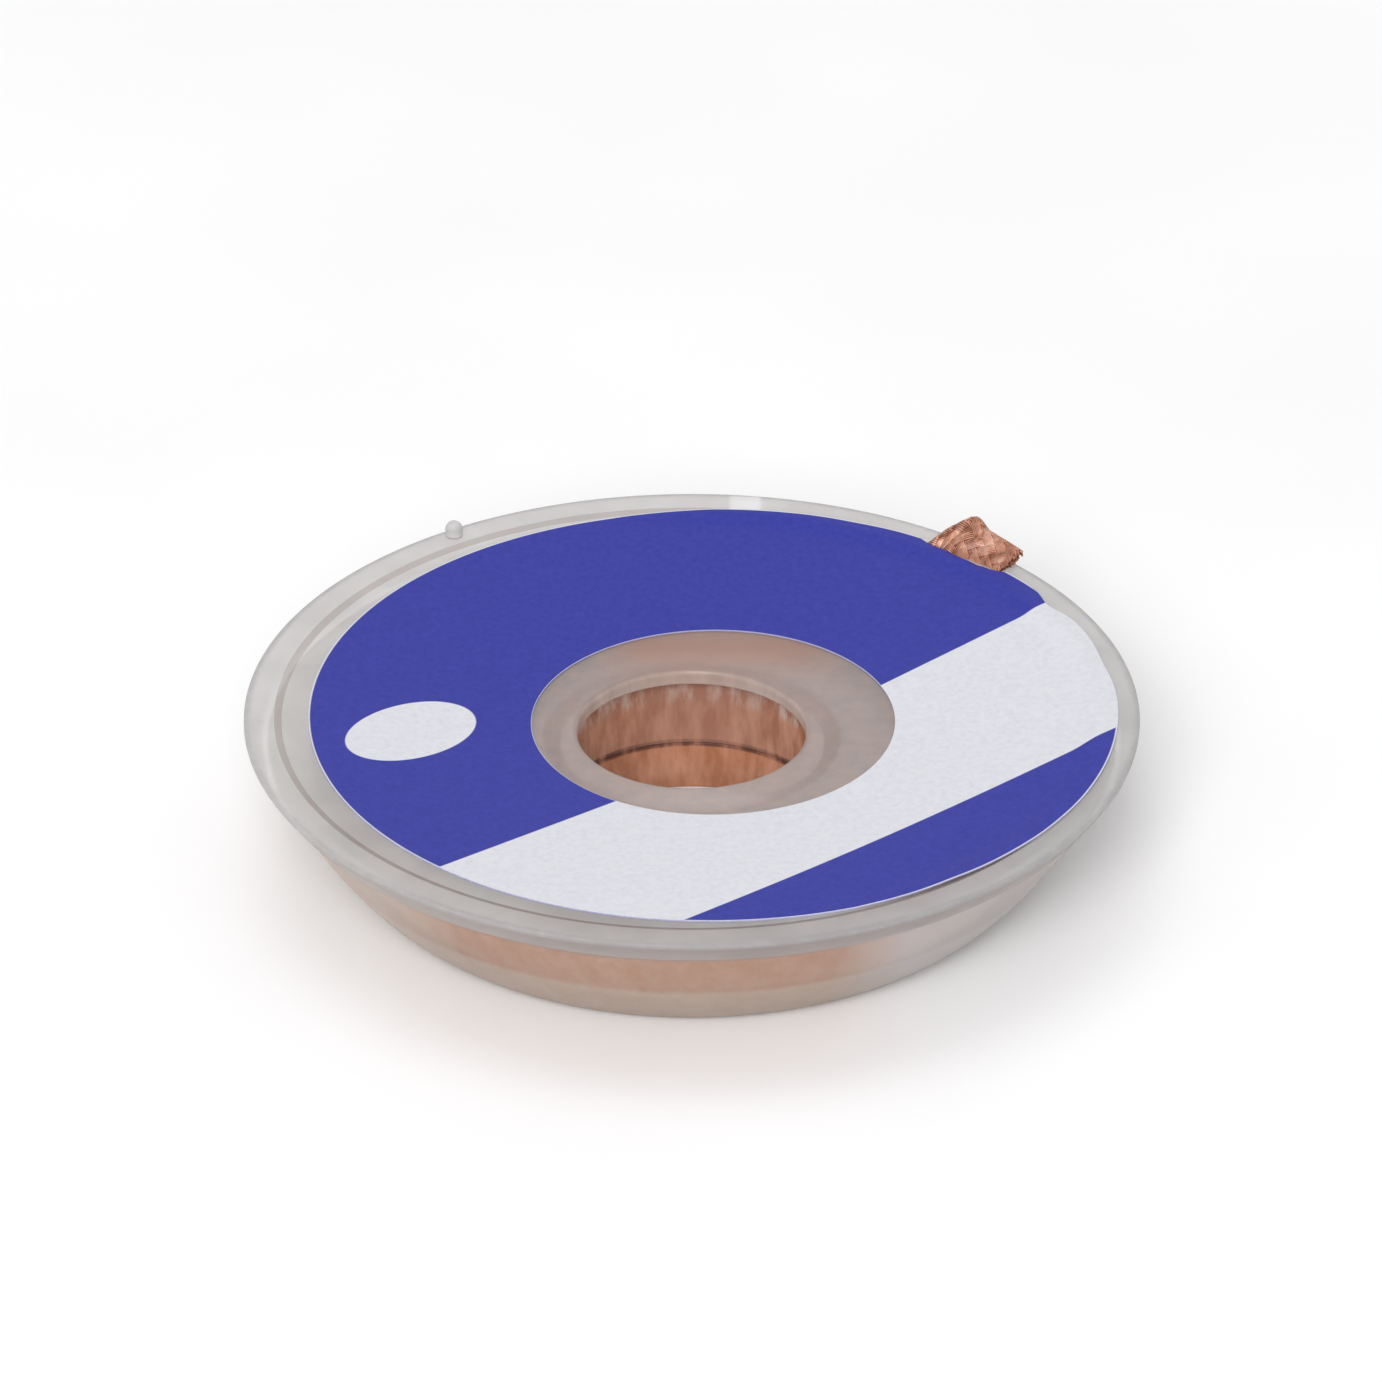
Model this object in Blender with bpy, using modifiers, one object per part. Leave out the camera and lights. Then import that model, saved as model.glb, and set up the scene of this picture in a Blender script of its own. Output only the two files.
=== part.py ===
"""Spool of desoldering braid: a two-part bobbin, its winding, the braid's free end and a label.

Metres, +Z up. The origin is the centre of the flat bottom, and the bobbin's axis is +Z.
"""

import math

import bmesh
import bpy

MM = 0.001

# Upper half: a flange with a raised rim and a dished face
RIM_RADIUS = 23.0 * MM
RIM_WIDTH = 1.64 * MM
RIM_STEP = 0.12 * MM
RIM_TAPER = 1.0 * MM
RIM_EDGE_ROUND = 0.12 * MM
FLANGE_UNDERSIDE = 6.7 * MM
FLANGE_THICKNESS = 0.55 * MM
DISH_DEPTH = 0.73 * MM

# Hub, half of it moulded on each side
HUB_RADIUS = 7.6 * MM
HUB_WALL = 0.8 * MM
HUB_DRAFT = 0.5 * MM
BORE_RADIUS = 5.85 * MM
LIP_THICKNESS = 0.85 * MM
JOINT_HEIGHT = 2.4 * MM

# Lower half: a bowl with a flat bottom
BOTTOM_RADIUS = 16.5 * MM
BOTTOM_THICKNESS = 0.9 * MM
BOWL_SETBACK = 0.3 * MM
BOWL_WALL = 0.8 * MM
BOWL_BULGE_RADIUS = 18.8 * MM
BOWL_BULGE_HEIGHT = 1.35 * MM

# Moulding mark that stands on the rim
NUB_RADIUS = 0.46 * MM
NUB_HEIGHT = 0.85 * MM
NUB_ANGLE = math.radians(124.0)

# Braid, on the roll and at its free end
BRAID_WIDTH = 2.5 * MM
BRAID_THICKNESS = 0.5 * MM
ROLL_SETBACK = 3.4 * MM
TAIL_START_LEAN = math.radians(28.0)
TAIL_END_LEAN = math.radians(42.0)
TAIL_START_ANGLE = math.radians(66.0)
TAIL_RISE_START_ANGLE = math.radians(60.5)
TAIL_RISE_END_ANGLE = math.radians(50.3)
TAIL_CUT_ANGLE = math.radians(43.8)
TAIL_END_ANGLE = math.radians(41.4)
TAIL_FOOT_SETBACK = 0.1 * MM
TAIL_FOOT_DROP = 0.53 * MM
TAIL_DIP = 0.35 * MM

# Label
LABEL_MARGIN = 0.66 * MM
LABEL_HOLE_RADIUS = 9.3 * MM
LABEL_THICKNESS = 0.12 * MM
LABEL_OFFSET_X = 1.1 * MM
LABEL_OFFSET_Y = 0.35 * MM

# Clearance between neighbouring pieces
FIT_GAP = 0.3 * MM

# Fineness of the turned shapes
TURN_STEPS = 80
ARC_STEPS = 3
BOWL_STEPS = 9
LABEL_RINGS = 8
TAIL_STEPS = 26
TAIL_ROWS = 4
MERGE = 0.01 * MM

# Sizes that follow from the ones above
RIM_INNER_RADIUS = RIM_RADIUS - RIM_WIDTH
RIM_FOOT_RADIUS = RIM_RADIUS - RIM_TAPER
LEDGE_TOP = FLANGE_UNDERSIDE + FLANGE_THICKNESS
FACE_TOP = LEDGE_TOP + DISH_DEPTH
RIM_TOP = FACE_TOP + RIM_STEP
HUB_INNER_RADIUS = HUB_RADIUS - HUB_WALL
BOWL_TOP_RADIUS = RIM_FOOT_RADIUS - BOWL_SETBACK
BOWL_TOP = FLANGE_UNDERSIDE - FIT_GAP
ROLL_RADIUS = BOWL_TOP_RADIUS - ROLL_SETBACK
ROLL_TOP = FLANGE_UNDERSIDE - FIT_GAP
ROLL_BOTTOM = BOTTOM_THICKNESS + FIT_GAP
LABEL_RADIUS = RIM_INNER_RADIUS - LABEL_MARGIN


def clear_scene():
    """Remove what the file opens with."""
    for item in list(bpy.data.objects):
        bpy.data.objects.remove(item, do_unlink=True)


def make_collection(name):
    """Return a new collection that is linked to the scene."""
    group = bpy.data.collections.new(name)
    bpy.context.scene.collection.children.link(group)
    return group


def make_material(name, colour, roughness, metallic=0.0):
    """Return a Principled material in one colour."""
    material = bpy.data.materials.new(name)
    material.use_nodes = True
    shader = material.node_tree.nodes["Principled BSDF"]
    shader.inputs["Base Color"].default_value = (*colour, 1.0)
    shader.inputs["Roughness"].default_value = roughness
    shader.inputs["Metallic"].default_value = metallic
    return material


def add_object(name, mesh, group, material=None):
    """Put a mesh in the group as a named object."""
    item = bpy.data.objects.new(name, mesh)
    group.objects.link(item)
    if material:
        mesh.materials.append(material)
    return item


def arc(centre_r, centre_z, radius, start, end):
    """Points of an arc in the (radius, height) plane, angles in degrees."""
    points = []
    for step in range(ARC_STEPS + 1):
        angle = math.radians(start + (end - start) * step / ARC_STEPS)
        points.append((centre_r + radius * math.cos(angle), centre_z + radius * math.sin(angle)))
    return points


def bowl_side(inset=0.0):
    """Points down the bowl's side from its rim to its floor, moved inwards by inset."""
    points = []
    for step in range(BOWL_STEPS + 1):
        t = 1.0 - step / BOWL_STEPS
        low, mid, high = (1 - t) ** 2, 2 * t * (1 - t), t * t
        radius = low * BOTTOM_RADIUS + mid * BOWL_BULGE_RADIUS + high * BOWL_TOP_RADIUS
        height = mid * BOWL_BULGE_HEIGHT + high * BOWL_TOP
        run = (1 - t) * (BOWL_BULGE_RADIUS - BOTTOM_RADIUS) + t * (BOWL_TOP_RADIUS - BOWL_BULGE_RADIUS)
        rise = (1 - t) * BOWL_BULGE_HEIGHT + t * (BOWL_TOP - BOWL_BULGE_HEIGHT)
        length = math.hypot(run, rise)
        points.append((radius - inset * rise / length, height + inset * run / length))
    return points


def between(points, floor, ceiling):
    """The part of a profile, which runs downwards, that lies between two heights."""
    kept = []
    for (r_high, z_high), (r_low, z_low) in zip(points, points[1:]):
        for level in (ceiling, floor):
            if z_low < level <= z_high:
                share = (z_high - level) / (z_high - z_low)
                kept.append((r_high + (r_low - r_high) * share, level))
        if floor < z_low < ceiling:
            kept.append((r_low, z_low))
    return sorted(kept, key=lambda point: -point[1])


def turned(name, profile, group, material):
    """Turn a closed profile, which runs down its outer side, about the Z axis."""
    mesh = bpy.data.meshes.new(name)
    shape = bmesh.new()
    corners = [shape.verts.new((radius, 0.0, height)) for radius, height in profile]
    for index, corner in enumerate(corners):
        shape.edges.new((corner, corners[(index + 1) % len(corners)]))
    shape.to_mesh(mesh)
    shape.free()
    item = add_object(name, mesh, group, material)
    screw = item.modifiers.new("turn", "SCREW")
    screw.axis = "Z"
    screw.angle = 2 * math.pi
    screw.steps = TURN_STEPS
    screw.render_steps = TURN_STEPS
    screw.use_merge_vertices = True
    screw.merge_threshold = MERGE
    screw.use_smooth_shade = True
    return item


def apply_modifiers(item):
    """Replace an object's mesh by what its modifiers make of it."""
    graph = bpy.context.evaluated_depsgraph_get()
    mesh = bpy.data.meshes.new_from_object(item.evaluated_get(graph), depsgraph=graph)
    item.modifiers.clear()
    item.data = mesh
    return item


def shade_round(item, limit=35.0):
    """Shade smooth, with edges sharper than the limit kept crisp."""
    item.data.shade_smooth()
    item.data.set_sharp_from_angle(angle=math.radians(limit))


def boolean(item, other, operation):
    """Join another object to this one, or cut it away."""
    step = item.modifiers.new(other.name, "BOOLEAN")
    step.operation = operation
    step.solver = "EXACT"
    step.object = other


def mark_as_guide(item):
    """Show a cutter as wires and keep it out of renders."""
    item.hide_render = True
    item.display_type = "WIRE"


def upper_profile():
    """Flange with its raised rim, dished face, hub lip and the upper part of the hub tube."""
    rim_round = RIM_EDGE_ROUND
    rim_edge = arc(RIM_RADIUS - rim_round, RIM_TOP - rim_round, rim_round, 90.0, 0.0)
    lip_round = LIP_THICKNESS / 3
    lip_edge = arc(BORE_RADIUS + lip_round, LEDGE_TOP - lip_round, lip_round, 180.0, 90.0)
    hub_end = JOINT_HEIGHT + FIT_GAP / 2
    lip_underside = LEDGE_TOP - LIP_THICKNESS
    return [
        *rim_edge,
        (RIM_FOOT_RADIUS, FLANGE_UNDERSIDE),
        (HUB_RADIUS, FLANGE_UNDERSIDE),
        (HUB_RADIUS, hub_end),
        (HUB_INNER_RADIUS, hub_end),
        (HUB_INNER_RADIUS, lip_underside),
        (BORE_RADIUS, lip_underside),
        *lip_edge,
        (HUB_RADIUS, LEDGE_TOP),
        (RIM_INNER_RADIUS, FACE_TOP),
        (RIM_INNER_RADIUS + RIM_EDGE_ROUND, RIM_TOP),
    ]


def lower_profile():
    """Bowl with its flat bottom and the lower part of the hub tube, which narrows downwards."""
    hub_end = JOINT_HEIGHT - FIT_GAP / 2
    inner_side = between(bowl_side(BOWL_WALL), BOTTOM_THICKNESS, BOWL_TOP)
    return [
        *bowl_side(),
        (HUB_INNER_RADIUS - HUB_DRAFT, 0.0),
        (HUB_INNER_RADIUS, hub_end),
        (HUB_RADIUS, hub_end),
        (HUB_RADIUS, BOTTOM_THICKNESS),
        *reversed(inner_side),
    ]


def roll_profile():
    """Winding of two widths of braid: the lower one has fewer turns, as the bowl narrows."""
    side = between(bowl_side(BOWL_WALL + FIT_GAP), ROLL_BOTTOM, ROLL_TOP)
    bore = HUB_RADIUS + FIT_GAP
    middle = (ROLL_BOTTOM + ROLL_TOP) / 2
    upper_room = min(radius for radius, height in side if height >= middle)
    lower_room = min(radius for radius, height in side)
    upper = min(ROLL_RADIUS, upper_room)
    lower = min(upper - BRAID_THICKNESS, lower_room)
    return [
        (upper, ROLL_TOP),
        (upper, middle),
        (lower, middle),
        (lower, ROLL_BOTTOM),
        (bore, ROLL_BOTTOM),
        (bore, ROLL_TOP),
    ]


def face_height(radius):
    """Height of the flange's top at a distance from the axis."""
    if radius >= RIM_INNER_RADIUS:
        return RIM_TOP
    share = (radius - HUB_RADIUS) / (RIM_INNER_RADIUS - HUB_RADIUS)
    return LEDGE_TOP + DISH_DEPTH * max(0.0, share)


def label_height(radius):
    """Height of the label's underside, which slopes up where it reaches over the rim's step."""
    slope_start = RIM_INNER_RADIUS - 2 * RIM_STEP
    share = (radius - slope_start) / (RIM_INNER_RADIUS - slope_start)
    climb = min(max(share, 0.0), 1.0)
    base = face_height(min(radius, slope_start))
    return base + (RIM_TOP - base) * climb + FIT_GAP


def make_label(group, material):
    """Ring of printed film that lies off centre on the dished face."""
    mesh = bpy.data.meshes.new("label")
    shape = bmesh.new()
    points = []
    for ring in range(LABEL_RINGS + 1):
        share = math.sqrt(ring / LABEL_RINGS)
        radius = LABEL_RADIUS + (LABEL_HOLE_RADIUS - LABEL_RADIUS) * (1.0 - share)
        points.append(shape.verts.new((radius, 0.0, 0.0)))
    for inner, outer in zip(points, points[1:]):
        shape.edges.new((inner, outer))
    bmesh.ops.spin(
        shape,
        geom=shape.verts[:] + shape.edges[:],
        cent=(0.0, 0.0, 0.0),
        axis=(0.0, 0.0, 1.0),
        angle=2 * math.pi,
        steps=TURN_STEPS,
    )
    bmesh.ops.remove_doubles(shape, verts=shape.verts[:], dist=MERGE)
    for vert in shape.verts:
        vert.co.x += LABEL_OFFSET_X
        vert.co.y += LABEL_OFFSET_Y
        vert.co.z = label_height(math.hypot(vert.co.x, vert.co.y))
    bmesh.ops.recalc_face_normals(shape, faces=shape.faces[:])
    if sum(face.normal.z for face in shape.faces) < 0:
        bmesh.ops.reverse_faces(shape, faces=shape.faces[:])
    shape.to_mesh(mesh)
    shape.free()
    item = add_object("label", mesh, group, material)
    film = item.modifiers.new("film", "SOLIDIFY")
    film.thickness = LABEL_THICKNESS
    film.offset = 1.0
    return item


def tail_point(angle, across):
    """Place on the free end's middle surface, with across from 0 at its lower edge to 1."""
    share = (TAIL_RISE_START_ANGLE - angle) / (TAIL_RISE_START_ANGLE - TAIL_RISE_END_ANGLE)
    share = min(max(share, 0.0), 1.0)
    climb = share * share * (3 - 2 * share)
    past = (TAIL_RISE_END_ANGLE - angle) / (TAIL_RISE_END_ANGLE - TAIL_END_ANGLE)
    dip = TAIL_DIP * max(past, 0.0)
    lean = TAIL_START_LEAN + (TAIL_END_LEAN - TAIL_START_LEAN) * climb
    start_radius = ROLL_RADIUS + FIT_GAP + BRAID_THICKNESS / 2 / math.cos(TAIL_START_LEAN)
    end_radius = RIM_INNER_RADIUS - TAIL_FOOT_SETBACK
    start_height = ROLL_TOP - BRAID_WIDTH * math.cos(TAIL_START_LEAN)
    end_height = FACE_TOP - TAIL_FOOT_DROP
    reach = BRAID_WIDTH * across
    radius = start_radius + (end_radius - start_radius) * climb + reach * math.sin(lean)
    height = start_height + (end_height - start_height) * climb - dip + reach * math.cos(lean)
    return radius * math.cos(angle), radius * math.sin(angle), height


def make_ribbon(name, group, thickness, start, low_end, high_end, low, high, material=None):
    """Sweep a leaning strip about the axis, its far end cut on a slant."""
    mesh = bpy.data.meshes.new(name)
    shape = bmesh.new()
    bmesh.ops.create_grid(shape, x_segments=TAIL_STEPS, y_segments=TAIL_ROWS, size=0.5)
    for vert in shape.verts:
        along = vert.co.x + 0.5
        rise = vert.co.y + 0.5
        end = low_end + (high_end - low_end) * rise
        vert.co = tail_point(start + (end - start) * along, low + (high - low) * rise)
    shape.to_mesh(mesh)
    shape.free()
    item = add_object(name, mesh, group, material)
    body = item.modifiers.new("thickness", "SOLIDIFY")
    body.thickness = thickness
    body.offset = 0.0
    return item


def make_nub(group, material):
    """Small rounded pip, sunk a little into the rim that it stands on."""
    mesh = bpy.data.meshes.new("nub")
    shape = bmesh.new()
    bmesh.ops.create_uvsphere(shape, u_segments=12, v_segments=8, radius=NUB_RADIUS)
    stretch = NUB_HEIGHT - NUB_RADIUS
    for vert in shape.verts:
        if vert.co.z < 0:
            vert.co.z -= stretch
    shape.to_mesh(mesh)
    shape.free()
    item = add_object("nub", mesh, group, material)
    place = RIM_RADIUS - RIM_WIDTH / 2
    item.location = (
        place * math.cos(NUB_ANGLE),
        place * math.sin(NUB_ANGLE),
        RIM_TOP + NUB_HEIGHT - NUB_RADIUS,
    )
    return item


def main():
    """Build the bobbin's halves, the winding, its free end and the label."""
    clear_scene()
    parts = make_collection("desoldering_braid")
    guides = make_collection("cutters")
    plastic = make_material("milky_polypropylene", (0.62, 0.60, 0.59), 0.35)
    copper = make_material("copper_braid", (0.60, 0.28, 0.19), 0.45, 1.0)
    film = make_material("label_film", (0.06, 0.07, 0.38), 0.4)

    upper = turned("spool_upper_half", upper_profile(), parts, plastic)
    lower = turned("spool_lower_half", lower_profile(), parts, plastic)
    roll = turned("braid_roll", roll_profile(), parts, copper)

    nub = make_nub(guides, plastic)
    end_margin = FIT_GAP / RIM_RADIUS
    side_margin = FIT_GAP / BRAID_WIDTH
    passage = make_ribbon(
        "tail_passage",
        guides,
        BRAID_THICKNESS + 2 * FIT_GAP,
        TAIL_START_ANGLE + end_margin,
        TAIL_CUT_ANGLE - end_margin,
        TAIL_END_ANGLE - end_margin,
        -side_margin,
        1.0 + side_margin,
    )
    for guide in (nub, passage):
        mark_as_guide(guide)
    boolean(upper, nub, "UNION")
    boolean(upper, passage, "DIFFERENCE")
    boolean(lower, passage, "DIFFERENCE")

    tail = make_ribbon(
        "braid_free_end",
        parts,
        BRAID_THICKNESS,
        TAIL_START_ANGLE,
        TAIL_CUT_ANGLE,
        TAIL_END_ANGLE,
        0.0,
        1.0,
        copper,
    )
    label = make_label(parts, film)
    boolean(label, passage, "DIFFERENCE")
    for item in (upper, lower, roll, tail, label):
        shade_round(apply_modifiers(item))


main()
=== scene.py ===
"""Looks of a spool of desoldering braid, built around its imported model.

A milky two-part bobbin holds the winding. A printed ring label lies on its dished face, and the
braid's cut end stands out beside the label. Lengths are in metres, +Z is up, and the origin is
the centre of the flat bottom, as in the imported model.
"""

import bisect
import logging
import math
import random
from collections.abc import Callable, Sequence
from dataclasses import dataclass, field
from enum import Enum

import bmesh
import bpy
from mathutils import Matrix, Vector, noise


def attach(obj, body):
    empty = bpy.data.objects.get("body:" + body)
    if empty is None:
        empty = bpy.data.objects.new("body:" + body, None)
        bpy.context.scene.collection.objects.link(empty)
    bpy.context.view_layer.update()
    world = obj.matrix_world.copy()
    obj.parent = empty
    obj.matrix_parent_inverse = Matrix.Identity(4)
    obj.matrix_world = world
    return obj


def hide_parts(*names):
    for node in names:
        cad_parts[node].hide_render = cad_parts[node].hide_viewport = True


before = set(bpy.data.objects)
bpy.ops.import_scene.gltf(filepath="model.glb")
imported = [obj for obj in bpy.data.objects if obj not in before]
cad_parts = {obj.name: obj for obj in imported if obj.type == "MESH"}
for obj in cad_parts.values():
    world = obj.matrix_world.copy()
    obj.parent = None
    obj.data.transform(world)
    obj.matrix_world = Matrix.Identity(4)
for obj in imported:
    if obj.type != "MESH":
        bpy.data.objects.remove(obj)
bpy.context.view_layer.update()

BODY = "root"
MM = 0.001
FIT_GAP = 0.3 * MM
ROLL_SETBACK = 3.4 * MM
# Blender's wave texture repeats after this many units at a scale of 1
WAVE_PERIOD = 0.314

Profile = list[tuple[float, float]]
Ring = list[Vector]
Tree = bpy.types.NodeTree
Socket = bpy.types.NodeSocket
Item = bpy.types.Object

log = logging.getLogger("spool")


class Slot(Enum):
    """Material slots of the record, one for each kind of piece."""

    PLASTIC = "bobbin_plastic"
    COPPER = "copper_braid"
    FILM = "label_film"


class Weave(Enum):
    """How a copper finish shows the braid's strands."""

    RELIEF = "relief"
    WIRES = "wires"


def linear(hex_colour: str) -> tuple[float, float, float, float]:
    """Turn an sRGB hex colour, such as "#A0B1C2", into linear RGBA with an alpha of 1."""
    shares = [int(hex_colour[place:place + 2], 16) / 255 for place in (1, 3, 5)]
    return (*(s / 12.92 if s <= 0.04045 else ((s + 0.055) / 1.055) ** 2.4 for s in shares), 1.0)


def smooth(share: float) -> float:
    """Ease a share, held between 0 and 1, at both its ends."""
    share = min(max(share, 0.0), 1.0)
    return share * share * (3 - 2 * share)


def node(
    tree: Tree,
    kind: str,
    inputs: dict | None = None,
    output: int | str = 0,
    stops: Sequence[tuple[float, str]] = (),
    **settings: object,
) -> Socket:
    """Add a node with its settings, input values and links.

    Args:
        tree: Node tree of a material.
        kind: Blender's name for the node type, without its first part, ShaderNode.
        inputs: Value or linked socket for each input, by name or number.
        output: Name or number of the output that is used.
        stops: Positions and hex colours of a colour ramp.
        **settings: Properties of the node.

    Returns:
        The socket of that output.
    """
    made = tree.nodes.new("ShaderNode" + kind)
    for name, value in settings.items():
        setattr(made, name, value)
    for name, value in (inputs or {}).items():
        if isinstance(value, Socket):
            tree.links.new(value, made.inputs[name])
        else:
            made.inputs[name].default_value = value
    for index, (position, colour) in enumerate(stops):
        ramp = made.color_ramp.elements
        stop = ramp[index] if index < 2 else ramp.new(position)
        stop.position = position
        stop.color = linear(colour)
    return made.outputs[output]


def soft_steps(
    tree: Tree,
    bounds: Sequence[tuple[Socket, float, float]],
    operation: str,
    blend: str = "LINEAR",
) -> Socket:
    """Combine several soft steps into one mask.

    Args:
        tree: Node tree of a material.
        bounds: For each step its value, where the mask is 0 and where it is 1.
        operation: MULTIPLY where all the steps have to be 1, MAXIMUM where one is enough.
        blend: Way that each step goes from 0 to 1.

    Returns:
        The socket that gives the mask.
    """
    mask = None
    for value, none, full in bounds:
        limits = {"Value": value, "From Min": none, "From Max": full}
        step = node(tree, "MapRange", limits, interpolation_type=blend)
        mask = step if mask is None else node(
            tree, "Math", {0: mask, 1: step}, operation=operation
        )
    return mask


def new_material(
    name: str, values: dict[str, float], links: Callable[[Tree, Socket], dict[str, Socket]]
) -> bpy.types.Material:
    """Make a material of one Principled shader.

    Args:
        name: Name of the material.
        values: Even value of each input that has one.
        links: Draws the patterns from the place on the object, and says what input each feeds.

    Returns:
        The material.
    """
    material = bpy.data.materials.new(name)
    material.use_nodes = True
    tree = material.node_tree
    shader = tree.nodes["Principled BSDF"]
    for socket, value in values.items():
        shader.inputs[socket].default_value = value
    for socket, pattern in links(tree, node(tree, "TexCoord", output="Object")).items():
        tree.links.new(pattern, shader.inputs[socket])
    return material


def rounded(
    corners: Sequence[tuple[float, float, float]],
    steps: int = 4,
    hold: float = 0.25,
    share: float = 1 / 2.6,
) -> Profile:
    """Round the corners of a closed profile.

    Args:
        corners: Radius, height and fillet of each corner, in order.
        steps: Number of segments in each rounded corner.
        hold: Distance of the points beside a fillet, as a share of the fillet's reach.
        share: Largest reach of a fillet, as a share of the side that it is on.

    Returns:
        The profile's points, with each fillet drawn as a short curve between two points that
        keep the flat faces beside it shaded flat.
    """
    points: Profile = []
    for index, (radius, height, fillet) in enumerate(corners):
        here = Vector((radius, height))
        before = Vector(corners[index - 1][:2]) - here
        after = Vector(corners[(index + 1) % len(corners)][:2]) - here
        if not fillet:
            points.append((radius, height))
            continue
        reach = fillet / math.tan(before.angle(after) / 2)
        reach = min(reach, before.length * share, after.length * share)
        start = here + before.normalized() * reach
        end = here + after.normalized() * reach
        curve = [start * 1.0]
        for step in range(1, steps + 1):
            t = step / steps
            curve.append(start * (1 - t) ** 2 + here * 2 * t * (1 - t) + end * t * t)
        held_start = start + before.normalized() * reach * hold
        held_end = end + after.normalized() * reach * hold
        points.extend((point.x, point.y) for point in (held_start, *curve, held_end))
    return points


def finish_mesh(name: str, shape: bmesh.types.BMesh) -> bpy.types.Mesh:
    """Turn an edited shape, which is freed, into a mesh."""
    mesh = bpy.data.meshes.new(name)
    shape.to_mesh(mesh)
    shape.free()
    return mesh


def loft(
    name: str,
    rings: Sequence[Ring],
    looped: bool = False,
    strand: Callable[[int, int], tuple[float, float]] | None = None,
) -> bpy.types.Mesh:
    """Skin a row of closed rings into one closed mesh.

    Args:
        name: Name of the mesh.
        rings: Rings with the same number of points each.
        looped: True where the last ring joins the first, and False where the ends are capped.
        strand: Gives the texture coordinates of a ring's point, from both numbers.

    Returns:
        The mesh, with its faces pointing out.
    """
    count = len(rings[0])
    shape = bmesh.new()
    rows = [[shape.verts.new(point) for point in ring] for ring in rings]
    layer = shape.loops.layers.uv.new("strand") if strand else None
    for row in range(len(rows) if looped else len(rows) - 1):
        for column in range(count):
            places = ((row, column), (row, column + 1), (row + 1, column + 1), (row + 1, column))
            face = shape.faces.new([rows[r % len(rows)][c % count] for r, c in places])
            if strand:
                for loop, place in zip(face.loops, places):
                    loop[layer].uv = strand(*place)
    if not looped:
        shape.faces.new(reversed(rows[0]))
        shape.faces.new(rows[-1])
    bmesh.ops.recalc_face_normals(shape, faces=shape.faces[:])
    return finish_mesh(name, shape)


def turned(name: str, profile: Profile, steps: int) -> bpy.types.Mesh:
    """Turn a closed profile about the Z axis.

    Args:
        name: Name of the mesh.
        profile: Radius and height of each point.
        steps: Number of segments round the axis.

    Returns:
        The closed mesh.
    """
    rings = []
    for step in range(steps):
        angle = 2 * math.pi * step / steps
        across, away = math.cos(angle), math.sin(angle)
        rings.append([Vector((r * across, r * away, z)) for r, z in profile])
    return loft(name, rings, looped=True)


def joined(name: str, parts: Sequence[bpy.types.Mesh]) -> bpy.types.Mesh:
    """Join meshes, which are removed, into one mesh with the given name."""
    shape = bmesh.new()
    for part in parts:
        shape.from_mesh(part)
        bpy.data.meshes.remove(part)
    return finish_mesh(name, shape)


def tube(path: Sequence[Vector], radius: float, sides: int) -> bpy.types.Mesh:
    """Make a round wire.

    Args:
        path: Points of the wire's middle line.
        radius: Radius of the wire.
        sides: Number of its sides.

    Returns:
        The mesh of the closed tube.
    """
    turns = [2 * math.pi * step / sides for step in range(sides)]
    rings = []
    up = Vector((0.0, 0.0, 1.0))
    for index, point in enumerate(path):
        heading = path[min(index + 1, len(path) - 1)] - path[max(index - 1, 0)]
        heading.normalize()
        side = heading.cross(up).normalized()
        up = side.cross(heading).normalized()
        rings.append([point + (side * math.cos(a) + up * math.sin(a)) * radius for a in turns])
    return loft("wire", rings)


def add_object(name: str, data: bpy.types.ID) -> Item:
    """Put a mesh, a light or a camera in the scene as a named object, and return it."""
    item = bpy.data.objects.new(name, data)
    bpy.context.scene.collection.objects.link(item)
    return item


def bake_modifiers(item: Item) -> None:
    """Replace an object's mesh by what its modifiers, which are removed, make of it."""
    graph = bpy.context.evaluated_depsgraph_get()
    mesh = bpy.data.meshes.new_from_object(item.evaluated_get(graph), depsgraph=graph)
    item.modifiers.clear()
    item.data = mesh


def combine(item: Item, other: Item, operation: str) -> None:
    """Join another solid to this one, or cut it away.

    Args:
        item: Object that is changed once its modifiers are baked.
        other: Object that is joined or cut away.
        operation: UNION or DIFFERENCE.
    """
    step = item.modifiers.new(other.name, "BOOLEAN")
    step.operation = operation
    step.solver = "EXACT"
    step.object = other


def shade_round(item: Item, limit: float = 32.0) -> None:
    """Shade an object smooth, with the edges past a limit in degrees kept crisp."""
    item.data.shade_smooth()
    item.data.set_sharp_from_angle(angle=math.radians(limit))


def hand_over(item: Item, node_name: str, slot: Slot) -> None:
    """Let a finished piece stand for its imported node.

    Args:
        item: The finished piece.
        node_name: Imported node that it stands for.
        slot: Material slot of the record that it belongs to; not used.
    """
    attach(item, BODY)
    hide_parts(node_name)
    item.data.calc_loop_triangles()
    log.info("%s: %d triangles", item.name, len(item.data.loop_triangles))


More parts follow.
